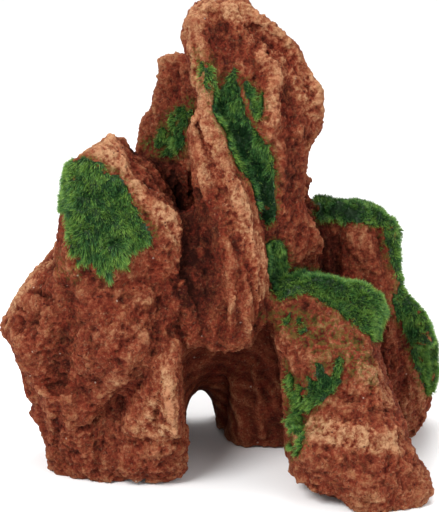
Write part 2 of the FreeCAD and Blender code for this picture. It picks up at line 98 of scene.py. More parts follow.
# Crests and grooves: height in mm, width in mm, then the line in layout mm
STROKES = [
    (2.2, 6, [(-46, -4, 147), (-38, -20, 133), (-34, -22, 127), (-25, -23, 121), (-14, -23, 111)]),
    (-1.5, 7, [(-34, 0, 138), (-26, -6, 128), (-18, -12, 116)]),
    (-3.6, 7, [(-9, -23, 122), (-8, -25, 108), (-7, -27, 92), (-3, -29, 78)]),
    (-3.5, 4, [(-14, -20, 112), (-14, -24, 96), (-12, -27, 84)]),
    (-6.0, 6, [(21, -28, 78), (18, -29, 66), (15, -29, 58)]),
    (-5.0, 5, [(-13, -30, 58), (-9, -30, 54)]),
    (2.0, 6, [(-8, -14, 170), (-6, -20, 160), (-2, -22, 148), (6, -24, 127), (12, -24, 115),
              (17, -22, 100), (19, -19, 85)]),
    (-1.8, 3.5, [(-9, -17, 158), (-6, -22, 142), (0, -25, 128), (6, -26, 112), (10, -27, 98)]),
    (-7.0, 5.5, [(1, -17, 160), (5, -18, 153), (10, -19, 145), (17, -18, 130), (20, -15, 114)]),
    (-3.0, 4, [(21, -12, 98), (21, -8, 81)]),
    (4.2, 4.5, [(17, -9, 178), (21, -10, 174), (23, -12, 169), (21, -16, 159), (18, -17, 146)]),
    (-2.8, 3.5, [(14, -13, 170), (16, -15, 162)]),
    (-5.0, 6.5, [(28, -12, 164), (29, -16, 150), (31, -14, 137), (33, -12, 126), (35, -9, 113)]),
    (-4.0, 5, [(-2, -5, 195), (1, -10, 187), (3, -15, 177)]),
    (2.6, 4, [(2, -3, 198), (8, -6, 190), (12, -6, 184)]),
    (2.4, 4, [(11, -3, 195), (22, -3, 191), (27, -4, 185)]),
    (-3.4, 4, [(13, -4, 190), (25, -5, 183), (34, -4, 174)]),
    (2.4, 4, [(33, -4, 180), (38, -6, 168), (41, -6, 156)]),
    (-2.6, 4, [(16, -6, 201), (18, 4, 201), (20, 14, 199)]),
    (-2.2, 3.5, [(31, -6, 188), (33, 4, 188), (34, 14, 186)]),
    (-3.0, 4, [(38, -8, 172), (37, -10, 158), (38, -10, 146)]),
    (-2.0, 4, [(-9, -6, 184), (-8, -13, 175)]),
    (-3.4, 8, [(-63, -31, 89), (-61, -34, 75), (-64, -34, 62), (-67, -28, 45)]),
    (3.2, 5, [(-83, -15, 78), (-69, -29, 79), (-72, -30, 68), (-80, -28, 60)]),
    (-3.0, 5, [(-82, -24, 69), (-76, -28, 73)]),
    (4.0, 6, [(-56, -30, 32), (-47, -33, 45), (-38, -43, 60), (-31, -40, 68)]),
    (-4.0, 6, [(-44, -32, 34), (-39, -35, 42), (-31, -41, 55)]),
    (3.0, 6, [(-44, -27, 24), (-40, -26, 10)]),
    (1.6, 6, [(-24, -35, 62), (-22, -41, 50), (-20, -42, 36)]),
    (-2.2, 3.5, [(-29, -37, 24), (-21, -41, 24), (-14, -30, 22)]),
    (-3.0, 6, [(-13, -36, 58), (-12, -36, 44), (-12, -35, 31)]),
    (-3.0, 9, [(-12, -26, 32), (-12, -26, 50), (-12, -14, 48), (-12, -14, 20), (-12, -3, 20),
               (-12, -3, 44)]),
    (-3.0, 7, [(3, 18, 30), (4, 24, 16), (6, 30, 2)]),
    (2.2, 3.5, [(-21, -42, 56), (-20, -43, 44), (-18, -42, 28)]),
    (-1.8, 2.5, [(-24, -41, 46), (-25, -42, 36), (-26, -40, 28)]),
    (2.0, 3.5, [(-26, -39, 44), (-30, -37, 34), (-34, -33, 27)]),
    (-2.8, 4, [(-66, -34, 40), (-69, -22, 18), (-72, -17, 2)]),
    (-3.2, 5, [(-78, -24, 29), (-84, -10, 30), (-83, 6, 30)]),
    (-2.5, 4, [(-80, -22, 46), (-88, -8, 46)]),
    (-2.6, 4, [(-72, -22, 11), (-77, -10, 12)]),
    (-2.0, 3.0, [(-50, -28, 18), (-51, -29, 12), (-52, -26, 1)]),
    (2.0, 5, [(32, -43, 34), (41, -43, 32), (53, -47, 33), (68, -45, 31)]),
    (-2.2, 6, [(34, -34, 52), (46, -38, 46), (60, -42, 40)]),
    (-2.5, 3.5, [(51, 16, 101), (51, 15, 81)]),
    (2.0, 4, [(60, 16, 101), (61, 13, 84)]),
    (-2.5, 4, [(68, 16, 101), (73, 12, 73)]),
    (-3.0, 4, [(77, 10, 60), (79, 13, 41), (81, 12, 23)]),
    (-3.0, 3.5, [(-1, -28, 104), (0, -29, 84), (1, -29, 60)]),
    (-2.5, 3.0, [(8, -27, 94), (8, -30, 78), (7, -30, 60)]),
    (2.0, 3.5, [(5, 12, 32), (9, 13, 6)]),
    (2.0, 3.5, [(15, 8, 38), (19, 10, 7)]),
    (3.5, 9, [(-20, 56, 60), (-24, 57, 34), (-20, 56, 8)]),
    (-4.5, 9, [(-4, 58, 62), (-4, 58, 44), (-14, 57, 30)]),
    (3.8, 8, [(10, 58, 58), (14, 59, 30), (10, 58, 6)]),
    (-4.0, 8, [(26, 58, 62), (23, 58, 36), (28, 57, 4)]),
    (3.0, 9, [(38, 56, 60), (35, 58, 24)]),
    (-5.0, 8, [(-17, 58, 4), (-14, 58, 18), (-8, 58, 24), (-1, 58, 19), (2, 58, 4)]),
    (-4.0, 8, [(-38, 40, 104), (-40, 42, 72), (-36, 40, 42)]),
    (3.5, 9, [(-50, 41, 84), (-57, 41, 58), (-50, 38, 38)]),
    (-4.0, 7, [(-66, 30, 30), (-46, 34, 24), (-32, 35, 4)]),
    (-4.5, 8, [(2, 30, 186), (7, 31, 160), (2, 32, 132)]),
    (3.5, 7, [(18, 27, 190), (21, 29, 160), (16, 32, 132)]),
    (-4.0, 7, [(34, 24, 172), (37, 27, 142)]),
    (-4.5, 8, [(6, 56, 112), (10, 57, 92), (6, 57, 76)]),
    (3.0, 8, [(26, 54, 112), (30, 56, 92), (26, 56, 76)]),
    (-4.0, 7, [(53, 62, 62), (50, 62, 34), (55, 61, 4)]),
    (3.5, 8, [(68, 62, 54), (66, 62, 18)]),
    (-3.5, 7, [(84, 50, 62), (88, 50, 40), (84, 50, 12)]),
    (-2.5, 5, [(-40, 34, 120), (-52, 36, 96), (-60, 36, 70), (-56, 34, 40)]),
    (3.0, 6, [(-28, 44, 160), (-24, 46, 130), (-26, 46, 100)]),
    (-3.0, 5, [(-14, 46, 150), (-12, 48, 112), (-16, 50, 84)]),
    (-3.0, 5, [(30, 26, 176), (34, 24, 140), (30, 40, 112)]),
    (2.5, 5, [(58, 58, 100), (64, 62, 66), (60, 62, 30)]),
    (-2.5, 4, [(74, 58, 92), (80, 58, 60), (78, 60, 20)]),
]


# ---------------------------------------------------------------- noise

_table = np.random.default_rng(7)
PERM = np.tile(_table.permutation(256), 3).astype(np.int32)
GRADIENTS = _table.normal(size=(256, 3))
GRADIENTS = (GRADIENTS / np.linalg.norm(GRADIENTS, axis=1)[:, None]).astype(np.float32)
CELL_POINTS = _table.random((256, 3)).astype(np.float32)
CORNERS = list(itertools.product((0, 1), repeat=3))
NEIGHBOURS = list(itertools.product((-1, 0, 1), repeat=3))
NOISE_GAIN = 1.7                       # brings the noise to about -1 to 1


def hashed(i, j, k):
    """A number from 0 to 255 for each lattice cell."""
    return PERM[PERM[PERM[i & 255] + (j & 255)] + (k & 255)]


def lattice(points, size, shift):
    """The lattice cell that each point is in, and its place in that cell."""
    scaled = (points / np.float32(size) + np.float32(shift)).astype(np.float32)
    cell = np.floor(scaled).astype(np.int32)
    return cell, scaled - cell


def noise(points, size, seed=0):
    """Gradient noise, about -1 to 1, with features size mm wide."""
    cell, f = lattice(points, size, 13.7 * seed + 50.5)
    ease = f * f * f * (f * (f * 6 - 15) + 10)
    total = np.zeros(len(points), np.float32)
    for corner in CORNERS:
        g = GRADIENTS[hashed(cell[:, 0] + corner[0], cell[:, 1] + corner[1],
                             cell[:, 2] + corner[2])]
        away = f - np.array(corner, np.float32)
        weight = np.ones(len(points), np.float32)
        for axis in range(3):
            weight *= ease[:, axis] if corner[axis] else 1 - ease[:, axis]
        total += weight * (g * away).sum(1)
    return total * NOISE_GAIN


def wander(points, size, seed):
    """Three noises side by side, which shift points so that what is drawn on them meanders."""
    return np.stack([noise(points, size, seed + axis) for axis in range(3)], 1)


def layered(points, size, octaves, seed=0):
    """Several octaves of noise, each half the size and a little over half the height."""
    total, height = np.zeros(len(points), np.float32), 1.0
    for octave in range(octaves):
        total += height * noise(points, size / 2 ** octave, seed + octave)
        height *= 0.55
    return total


def ridged(points, size, octaves, seed=0):
    """Noise with sharp crests, from about -1 in the valleys to 1 on the crests."""
    total, height, most = np.zeros(len(points), np.float32), 1.0, 0.0
    for octave in range(octaves):
        crest = 1 - 2 * np.abs(noise(points, size / 2 ** octave, seed + octave))
        total += height * crest
        most += height
        height *= 0.5
    return total / most


def pits(points, size, seed=0):
    """Distance to the nearest scattered point, in units of size: small in round pits."""
    cell, f = lattice(points, size, 9.1 * seed + 40.5)
    least = np.full(len(points), np.inf, np.float32)
    for step in NEIGHBOURS:
        site = CELL_POINTS[hashed(cell[:, 0] + step[0], cell[:, 1] + step[1],
                                  cell[:, 2] + step[2])]
        gap = site + np.array(step, np.float32) - f
        least = np.minimum(least, (gap * gap).sum(1))
    return np.sqrt(least)


def smooth(value, low, high):
    """0 below low, 1 above high, with a smooth step between."""
    t = np.clip((value - low) / (high - low), 0, 1)
    return t * t * (3 - 2 * t)


# ---------------------------------------------------------------- distance fields

def cad_mesh(name):
    """Vertices in mm and triangles of a CAD node."""
    mesh = NODES[name].data
    mesh.calc_loop_triangles()
    co = np.zeros(len(mesh.vertices) * 3, np.float32)
    mesh.vertices.foreach_get("co", co)
    tri = np.zeros(len(mesh.loop_triangles) * 3, np.int32)
    mesh.loop_triangles.foreach_get("vertices", tri)
    return co.reshape(-1, 3) / MM, tri.reshape(-1, 3).astype(np.uint32)


MARGIN = 10                            # cells of grid around the CAD box
FIRST = np.floor(np.array(CAD_BOX[0]) / MM / CELL - MARGIN).astype(int)
SHAPE = np.ceil(np.array(CAD_BOX[1]) / MM / CELL + MARGIN + 1).astype(int) - FIRST


def distances(name):
    """The distance field of a CAD node: its window of the grid, and the values in it."""
    points, triangles = cad_mesh(name)
    a = np.maximum(np.floor((points.min(0) - BAND) / CELL).astype(int) - 1 - FIRST, 0)
    b = np.minimum(np.ceil((points.max(0) + BAND) / CELL).astype(int) + 2 - FIRST, SHAPE)
    level = openvdb.FloatGrid.createLevelSetFromPolygons(
        points, triangles=triangles,
        transform=openvdb.createLinearTransform(voxelSize=CELL), halfWidth=BAND / CELL)
    field = np.zeros(b - a, np.float32)
    level.copyToArray(field, ijk=tuple(int(v) for v in a + FIRST))
    return tuple(slice(*ab) for ab in zip(a, b)), field


def places(index):
    """Positions in mm of grid cells, from their flat indices."""
    ijk = np.stack(np.unravel_index(index, SHAPE), 1) + FIRST
    return (ijk * CELL).astype(np.float32)


def corner_of(where):
    """The first cell of a window, counted from the frame's origin."""
    return np.array([w.start for w in where]) + FIRST


def sample(field, points, first=FIRST, cell=CELL):
    """Value of a field at points, between its cells."""
    q = points / cell - first
    ijk = np.clip(np.floor(q).astype(int), 0, np.array(field.shape) - 2)
    f = np.clip(q - ijk, 0, 1)
    total = 0
    for c in CORNERS:
        w = np.prod([f[:, a] if c[a] else 1 - f[:, a] for a in range(3)], axis=0)
        total = total + w * field[ijk[:, 0] + c[0], ijk[:, 1] + c[1], ijk[:, 2] + c[2]]
    return total


def to_line(p, line):
    """Distance from points to a polyline given in layout mm."""
    least = np.full(len(p), np.inf, np.float32)
    for start, end in zip(line[:-1], line[1:]):
        start, end = LAYOUT + np.array(start), LAYOUT + np.array(end)
        run = end - start
        t = np.clip((p - start) @ run / (run @ run), 0, 1)
        least = np.minimum(least, np.linalg.norm(p - start - t[:, None] * run, axis=1))
    return least


def finer(field):
    """The same field on a grid of half the cell size."""
    for axis in range(3):
        coarse = np.moveaxis(field, axis, 0)
        fine = np.empty((2 * len(coarse) - 1,) + coarse.shape[1:], np.float32)
        fine[::2] = coarse
        fine[1::2] = (coarse[1:] + coarse[:-1]) / 2
        field = np.moveaxis(fine, 0, axis)
    return field


def blur(field, reach):
    """Box blur over reach mm each way, along each axis in turn."""
    n = max(1, int(round(reach / CELL)))
    for axis in range(3):
        width = [(0, 0)] * 3
        width[axis] = (n + 1, n)
        total = np.cumsum(np.pad(field, width, mode="edge"), axis=axis, dtype=np.float64)
        size = field.shape[axis]
        ahead = np.take(total, range(2 * n + 1, 2 * n + 1 + size), axis=axis)
        behind = np.take(total, range(size), axis=axis)
        field = ((ahead - behind) / (2 * n + 1)).astype(np.float32)
    return field


def polygons(field, first, cell, adaptivity=0.0):
    """Vertices in mm, triangles and quads of the surface where a field crosses 0."""
    grid = openvdb.FloatGrid(BAND)
    grid.transform = openvdb.createLinearTransform(voxelSize=cell)
    grid.copyFromArray(np.ascontiguousarray(field), ijk=tuple(int(v) for v in first))
    points, triangles, quads = grid.convertToPolygons(isovalue=0.0, adaptivity=adaptivity)
    return points.astype(np.float64), triangles.astype(int), quads.astype(int)


def closed(field):
    """The distance field of the same shape with its narrow gaps filled."""
    points, triangles, quads = polygons(field - CLOSE, FIRST, CELL)
    level = openvdb.FloatGrid.createLevelSetFromPolygons(
        points.astype(np.float32), triangles=triangles.astype(np.uint32),
        quads=quads.astype(np.uint32),
        transform=openvdb.createLinearTransform(voxelSize=CELL), halfWidth=BAND / CELL)
    filled = np.zeros(SHAPE, np.float32)
    level.copyToArray(filled, ijk=tuple(int(v) for v in FIRST))
    return filled + CLOSE


def faceted(name):
    """The distance field of a rock with its broken faces cut flat."""
    where, field = distances(name)
    for point, facing in FACETS.get(name, []):
        ijk = np.indices(field.shape, np.float32) + corner_of(where)[:, None, None, None]
        away = ijk * CELL - (LAYOUT + np.array(point))[:, None, None, None]
        field = np.maximum(field, np.tensordot(np.array(facing, np.float32), away, 1))
    return where, field.astype(np.float32)


rock_field = {n: faceted(n) for n in ROCKS}
mat_field = {n: distances(n) for n in MATS}
nearest = np.full(SHAPE, BAND, np.float32)
second = np.full(SHAPE, BAND, np.float32)
owner = np.full(SHAPE, -1, np.int8)
density = np.zeros(SHAPE, np.float32)
fluting = np.zeros(SHAPE, np.float32)
mossy = np.full(SHAPE, BAND, np.float32)
EDGE = math.exp(-BAND / BLEND)
for number, name in enumerate(ROCKS):
    where, field = rock_field[name]
    closer = field < nearest[where]
    second[where] = np.where(closer, nearest[where], np.minimum(second[where], field))
    owner[where] = np.where(closer, number, owner[where])
    nearest[where] = np.where(closer, field, nearest[where])
    share = np.exp(-field / BLEND) - EDGE
    density[where] += share
    fluting[where] += share * FLUTED.get(name, LEAST_FLUTED)
density = np.maximum(density + EDGE, EDGE)
fluting /= density
for where, field in mat_field.values():
    mossy[where] = np.minimum(mossy[where], field)
union = -BLEND * np.log(density)
for name in PADS:
    where, field = distances(name)
    union[where] = np.minimum(union[where], field)
union = closed(union)
near = np.flatnonzero(union.ravel() < BAND)
for radius, line in FILLS:
    plug = to_line(places(near), line) - radius
    union.ravel()[near] = -BLEND * np.logaddexp(-union.ravel()[near] / BLEND, -plug / BLEND)


# ---------------------------------------------------------------- the carved surface

CAVE_EXIT = LAYOUT + np.array([-7.0, 36.0, 4.0])
# The cave's sides: axis, where the cave ends and where it counts in full, in layout mm
CAVE_SIDES = [(0, -19, -14), (0, 34, 29), (1, -16, -4), (1, 54, 48), (2, 60, 54)]


def in_cave(p):
    """1 inside the cave, 0 outside."""
    q = p - LAYOUT
    inside = 1.0
    for axis, end, full in CAVE_SIDES:
        inside = inside * smooth(q[:, axis], end, full)
    return inside


def swirl(p):
    """Flow lines that ring the way out of the cave, from about -1 to 1."""
    way = p - CAVE_EXIT + 2.5 * wander(p, 26, 1)
    ring = np.sqrt((way[:, 0] * 1.1) ** 2 + way[:, 2] ** 2 + 0.3 * way[:, 1] ** 2)
    strength = 0.6 + 0.6 * noise(p, 16, 25)
    return np.sin(ring * 1.1 + 2.4 * noise(p, 13, 21) + noise(p, 6, 23)) * strength


# Frames that stretch the noise: beds that lie aslant, and flutes that stand nearly upright
STRATA = np.array([[0.75, 0, 0.25], [0, 0.9, 0], [-0.45, 0, 1.25]], np.float32)
UPRIGHT = np.array([[1, 0, 0.03], [0, 1, 0], [0.2, 0, 0.13]], np.float32)


def forms(p, flute):
    """How far the rock's big forms stand out from the CAD solids, in mm."""
    warp = wander(p, 26, 1)
    q = p + 4 * warp
    lumps = 1.3 * layered(q, 22, 2, 4)
    craggy = 2.0 * ridged(q @ STRATA, 12, 3, 9) - 0.6
    upright = (p + 2 * warp) @ UPRIGHT
    flutes = 2.6 * ridged(upright, 7.5, 2, 15) + 0.9 * noise(upright, 17, 18) - 0.8
    cave = in_cave(p)
    lined = 0.4 * swirl(p) + 0.6 * noise(p, 9, 22)
    behind = smooth(p[:, 1], 15, 40)
    open_air = (1 + 1.2 * behind) * lumps + (1 - flute) * craggy + flute * flutes
    total = (1 - cave) * (open_air - 1.1) + cave * (0.5 * lumps + lined - 0.6)
    bent = p + 1.6 * wander(p, 8, 31)
    for height, width, line in STROKES:
        total += height * smooth(-to_line(bent, line) / width, -1, -0.1)
    return np.clip(total, DEEPEST, TALLEST)


skin = union.copy()
band = np.flatnonzero(np.abs(union.ravel()) < WORKED)
for part in np.array_split(band, 12):
    skin.ravel()[part] -= forms(places(part), fluting.ravel()[part])
# How enclosed each cell is, at two reaches: the rock paint and the flock use these for painted
# shade in hollows
solidity = (skin < 0).astype(np.float32)
hollow_fine = blur(solidity, FINE_REACH)
hollow_broad = blur(solidity, BROAD_REACH)
del solidity, density


def grain(p):
    """Crumbly relief of the cast sand: nodules with sharp creases, and pits, in mm."""
    bent = p + 0.9 * wander(p, 3.5, 41)
    rough = smooth(noise(p, 30, 44), -0.7, 0.5)
    flute = sample(fluting, p)
    big = 0.62 - pits(bent, 5.0, 3)
    small = 0.55 - pits(bent, 2.4, 5)
    holes = smooth(0.30 - pits(bent * np.array([1, 1, 0.7]), 6.5, 7), 0, 0.2)
    swell = ((0.6 - 0.4 * flute) * big + (0.55 - 0.2 * flute) * small
             + 0.9 * ridged(bent, 3.8, 3, 46) + 0.45 * layered(p, 1.5, 2, 45))
    quiet = np.maximum(0.75 * in_cave(p), 0.7 * smooth(-sample(mossy, p), -3, 0))
    quiet = np.maximum(quiet, 0.25 * smooth(flute, 0.6, 1))
    return (1 - quiet) * (swell - 0.8 * rough * holes) - 0.2


def mesh_object(name, points, faces, body="root"):
    """A new mesh object from points in mm and a list of face arrays."""
    mesh = bpy.data.meshes.new(name)
    loops = np.concatenate([f.ravel() for f in faces]).astype(np.int32)
    totals = np.concatenate([np.full(len(f), f.shape[1]) for f in faces]).astype(np.int32)
    starts = np.concatenate([[0], np.cumsum(totals)[:-1]]).astype(np.int32)
    mesh.vertices.add(len(points))
    mesh.vertices.foreach_set("co", (points * MM).astype(np.float32).ravel())
    mesh.loops.add(len(loops))
    mesh.loops.foreach_set("vertex_index", loops)
    mesh.polygons.add(len(totals))
    mesh.polygons.foreach_set("loop_start", starts)
    mesh.update(calc_edges=True)
    mesh.polygons.foreach_set("use_smooth", np.ones(len(totals), bool))
    mesh.validate()
    piece = bpy.data.objects.new(name, mesh)
    bpy.context.scene.collection.objects.link(piece)
    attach(piece, body)
    return piece


def attribute(piece, name, values):
    """A number at each vertex, for the material to read."""
    data = piece.data.attributes.new(name, "FLOAT", "POINT").data
    data.foreach_set("value", np.asarray(values, np.float32))


def slope(field, points, step=CELL):
    """Unit direction in which a field grows fastest."""
    away = np.stack([sample(field, points + step * e) - sample(field, points - step * e)
                     for e in np.eye(3)], 1)
    return away / np.maximum(np.linalg.norm(away, axis=1), 1e-9)[:, None]


def bake_map(piece, points, normals):
    """A UV layer of twelve flat views: six directions, on the near and far side of the middle."""
    mesh = piece.data
    low, high = points.min(0), points.max(0)
    middle = (low + high) / 2
    corner = np.zeros(len(mesh.loops), np.int32)
    mesh.loops.foreach_get("vertex_index", corner)
    start = np.zeros(len(mesh.polygons), np.int32)
    mesh.polygons.foreach_get("loop_start", start)
    total = np.zeros(len(mesh.polygons), np.int32)
    mesh.polygons.foreach_get("loop_total", total)
    sums = np.add.reduceat(normals[corner], start, axis=0)
    centre = np.add.reduceat(points[corner], start, axis=0) / total[:, None]
    axis = np.abs(sums).argmax(1)
    rows = np.arange(len(axis))
    positive = sums[rows, axis] > 0
    outer = (centre[rows, axis] > middle[axis]) == positive
    chart = axis * 4 + positive * 2 + outer
    per_loop = np.repeat(chart, total)
    side = np.repeat(axis, total)
    unit = (points[corner] - low) / (high - low)
    loops = np.arange(len(corner))
    u, v = unit[loops, (side + 1) % 3], unit[loops, (side + 2) % 3]
    cell = np.stack([per_loop % 4, per_loop // 4], 1)
    uv = (cell + 0.03 + 0.94 * np.stack([u, v], 1)) / np.array([4, 3])
    mesh.uv_layers.new(name="OFBake").data.foreach_set("uv", uv.astype(np.float32).ravel())


# Pale paint: strength, width in mm, then the line in layout mm
PALE = [
    (0.75, 7, [(-58, -6, 141), (-50, -8, 145), (-44, -14, 137), (-40, -20, 128)]),
    (0.75, 7, [(-39, -22, 126), (-33, -24, 121), (-27, -25, 117), (-16, -24, 111)]),
    (1.0, 6, [(-89, -14, 72), (-83, -14, 81), (-77, -12, 88), (-71, -8, 94)]),
    (0.65, 6, [(-10, -2, 192), (-10, -10, 182), (-8, -14, 170), (-6, -20, 158)]),
    (0.7, 9, [(-6, -20, 156), (-2, -23, 144), (4, -26, 128)]),
    (0.75, 7, [(4, -26, 128), (12, -25, 112), (17, -23, 98), (18, -20, 86)]),
    (0.6, 7, [(-8, 0, 196), (4, -6, 199), (14, -4, 195)]),
    (0.7, 5, [(18, -9, 180), (23, -12, 169), (21, -16, 156)]),
    (0.5, 9, [(8, -8, 196), (20, -8, 187), (32, -6, 176), (38, -4, 160)]),
    (0.65, 4, [(-22, -38, 60), (-21, -43, 48), (-20, -43, 30)]),
    (0.6, 4.5, [(-24, -41, 44), (-28, -38, 36), (-33, -33, 28), (-22, -42, 30)]),
    (1.05, 2.6, [(-21, -43, 50), (-21, -43, 38), (-23, -42, 32)]),
    (0.9, 7, [(32, -44, 31), (44, -46, 32), (56, -49, 30), (70, -46, 27)]),
    (0.35, 9, [(56, -34, 56), (68, -36, 42)]),
    (0.2, 8, [(60, 12, 100), (61, 12, 84)]),
    (0.5, 10, [(-60, 28, 122), (-70, 34, 90)]),
    (0.6, 10, [(-26, 44, 160), (-22, 46, 126)]),
    (0.6, 10, [(24, 30, 178), (22, 50, 112)]),
    (0.6, 10, [(58, 60, 96), (64, 62, 50)]),
    (0.6, 11, [(-20, 56, 60), (-24, 57, 34)]),
    (0.5, 9, [(10, 58, 58), (14, 59, 34)]),
    (0.5, 10, [(-76, 10, 84), (-84, 8, 62)]),
    (0.5, 9, [(96, 30, 44), (97, 44, 24)]),
]
# Painted shade in the clefts and grooves, in the same way
CLEFT_SHADE = [
    (1.3, 8, [(-20, 8, 134), (-14, 0, 122), (-13, -6, 108), (-13, -16, 98), (-12, -27, 84)]),
    (1.1, 6.5, [(-12, -18, 124), (-13, -19, 106), (-14, -20, 92)]),
    (0.6, 9, [(-8, -24, 118), (-7, -25, 100), (-8, -27, 80)]),
    (1.0, 9, [(-32, 13, 131), (-24, 13, 124), (-17, 13, 114)]),
    (0.25, 6, [(-2, -8, 191), (1, -12, 180)]),
    (0.5, 8, [(29, -15, 162), (31, -14, 140), (34, -10, 118)]),
    (0.5, 7, [(22, -10, 104), (21, -8, 80)]),
    (0.6, 9, [(42, 14, 104), (44, 14, 86)]),
    (0.6, 5, [(44, 14, 108), (56, 13, 107), (66, 13, 104)]),
    (0.7, 8, [(-4, 58, 62), (-4, 58, 44), (-14, 57, 30)]),
    (0.7, 8, [(26, 58, 62), (23, 58, 36), (28, 57, 4)]),
    (0.7, 9, [(-36, 40, 110), (-38, 42, 72), (-34, 40, 30)]),
    (0.7, 8, [(2, 30, 186), (7, 31, 160), (-4, 32, 132)]),
    (0.6, 7, [(6, 56, 112), (10, 57, 92), (6, 57, 76)]),
    (0.7, 7, [(46, 58, 84), (44, 60, 50), (46, 60, 8)]),
]
# Algae paint, in the same way
ALGAE = [
    (0.9, 9, [(26, -24, 72), (40, -30, 70), (52, -34, 62), (57, -36, 55)]),
    (0.6, 5, [(-10, -14, 180), (-8, -18, 168)]),
    (0.5, 6, [(-70, -20, 98), (-60, -32, 94)]),
    (0.5, 7, [(32, -44, 34), (40, -44, 28)]),
]


def painted(p, patches, seed):
    """Strength of a paint at points, ragged at its edges."""
    ragged = layered(p, 9, 3, seed)
    total = np.zeros(len(p), np.float32)
    for strength, width, line in patches:
        near = to_line(p, line) / width + 0.35 * ragged
        total = np.maximum(total, strength * smooth(-near, -1.15, -0.55))
    return total


def rock_piece(number, name):
    """The visible casting that stands for a CAD rock, and its surface for the moss to grow on."""
    where, field = rock_field[name]
    others = np.where(owner[where] == number, second[where], nearest[where])
    first = 2 * corner_of(where)
    own = np.maximum(finer(skin[where]), finer(field - others) - SEAM)
    up = (np.arange(own.shape[2]) + first[2]) * FINE
    own = np.maximum(own, (FOOT - up)[None, None, :].astype(np.float32))
    points, triangles, quads = polygons(own, first, FINE)
    outward = slope(skin, points)
    swell = grain(points)
    painted_side = smooth(sample(skin, points), -2.0, -0.6)
    points += outward * (swell * painted_side)[:, None]
    points[:, 2] = np.maximum(points[:, 2], 0)
    faces = [f for f in (triangles[:, ::-1], quads[:, ::-1]) if len(f)]
    piece = mesh_object("rock_" + name, points, faces)
    piece.data.set_sharp_from_angle(angle=math.radians(60))
    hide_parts(name)
    attribute(piece, "pale", painted(points, PALE, 61))
    # Painted shade: darkens the paint in the clefts and grooves where shadow falls
    attribute(piece, "dark", painted(points, CLEFT_SHADE, 62))
    # How enclosed the surface is: the material paints shade with it in hollows and lighter paint
    # on bulges
    attribute(piece, "hollow", 2.0 * (sample(hollow_fine, points) - 0.5)
              + 1.5 * (sample(hollow_broad, points) - 0.5))
    attribute(piece, "grain", swell)
    cave = in_cave(points)
    attribute(piece, "cave", cave)
    attribute(piece, "swirl", cave * swirl(points))
    attribute(piece, "flute", sample(fluting, points))
    attribute(piece, "green", np.maximum(smooth(-sample(mossy, points), -4.0, -0.5),
                                         painted(points, ALGAE, 63)))
    bake_map(piece, points, slope(union, points, 3.0))
    piece.data.materials.append(ROCK_MATERIAL)
    return points, outward, faces


# ---------------------------------------------------------------- materials

class Nodes:
    """Short calls for building a node material."""

    def __init__(self, name):
        self.material = bpy.data.materials.new(name)
        self.material.use_nodes = True
        self.tree = self.material.node_tree
        self.shader = self.tree.nodes["Principled BSDF"]

    def node(self, kind, inputs=(), **settings):
        """A new node: each input is a constant or another node's output."""
        made = self.tree.nodes.new(kind)
        for key, value in settings.items():
            setattr(made, key, value)
        for key, value in dict(inputs).items():
            if isinstance(value, bpy.types.NodeSocket):
                self.tree.links.new(value, made.inputs[key])
            else:
                made.inputs[key].default_value = value
        return made

    def shade(self, **inputs):
        """Set or link the shader's own inputs, such as Roughness or Base_Color."""
        for key, value in inputs.items():
            socket = self.shader.inputs[key.replace("_", " ")]
            if isinstance(value, bpy.types.NodeSocket):
                self.tree.links.new(value, socket)
            else:
                socket.default_value = value

    def attribute(self, name):
        return self.node("ShaderNodeAttribute", attribute_name=name).outputs["Fac"]

    def math(self, operation, a, b=0.0, clamp=False):
        made = self.node("ShaderNodeMath", {0: a, 1: b}, operation=operation)
        made.use_clamp = clamp
        return made.outputs[0]

    def add(self, start, *terms):
        """start + the sum of gain * (value - centre) over the terms."""
        total = start
        for value, centre, gain in terms:
            made = self.node("ShaderNodeMath", {0: value, 1: gain, 2: -centre * gain},
                             operation="MULTIPLY_ADD")
            total = self.math("ADD", total, made.outputs[0])
        return total

    def noise(self, where, scale, detail=3.0, roughness=0.55, distortion=0.0):
        return self.node("ShaderNodeTexNoise", {"Vector": where, "Scale": scale,
                         "Detail": detail, "Roughness": roughness,
                         "Distortion": distortion}).outputs["Fac"]

    def ramp(self, factor, stops):
        """Colours along a factor, from pairs of a place and a colour."""
        made = self.node("ShaderNodeValToRGB", {"Fac": factor})
        spots = made.color_ramp.elements
        while len(spots) < len(stops):
            spots.new(1.0)
        for spot, (place, colour) in zip(spots, stops):
            spot.position = place
            spot.color = (*colour, 1)
        return made.outputs["Color"]

    def mix(self, factor, a, b, blend="MIX"):
        made = self.node("ShaderNodeMix", data_type="RGBA", blend_type=blend)
        for socket, value in ((0, factor), (6, a), (7, b)):
            if isinstance(value, bpy.types.NodeSocket):
                self.tree.links.new(value, made.inputs[socket])
            else:
                made.inputs[socket].default_value = (
                    value if socket == 0 else (*value, 1))
        return made.outputs[2]


def rock_tone(n, broad, middle, fine, streaks):
    """How light the paint is: 0 in deep crevices, which hold painted shade, 1 on worn crests."""
    pale, grains = n.attribute("pale"), n.attribute("grain")
    # The dark and hollow terms are painted shade: they darken the paint in clefts and hollows, and
    # hollow lightens it on bulges
    tone = n.add(0.40, (broad, 0.5, 0.45), (middle, 0.5, 0.55), (fine, 0.5, 0.78),
                 (pale, 0.0, 0.24), (n.attribute("dark"), 0.0, -0.28),
                 (n.attribute("hollow"), 0.0, -0.30), (grains, 0.1, 0.13),
                 (n.attribute("cave"), 0.0, 0.09), (n.attribute("swirl"), 0.0, 0.09),
                 (n.math("MULTIPLY", pale, grains), 0.0, 0.32),
                 (n.math("MULTIPLY", pale, n.math("SUBTRACT", fine, 0.5)), 0.0, 0.5))
    return n.math("ADD", tone, n.math("MULTIPLY", n.math("SUBTRACT", streaks, 0.5),
                                      n.math("MULTIPLY", n.attribute("flute"), 0.55)))


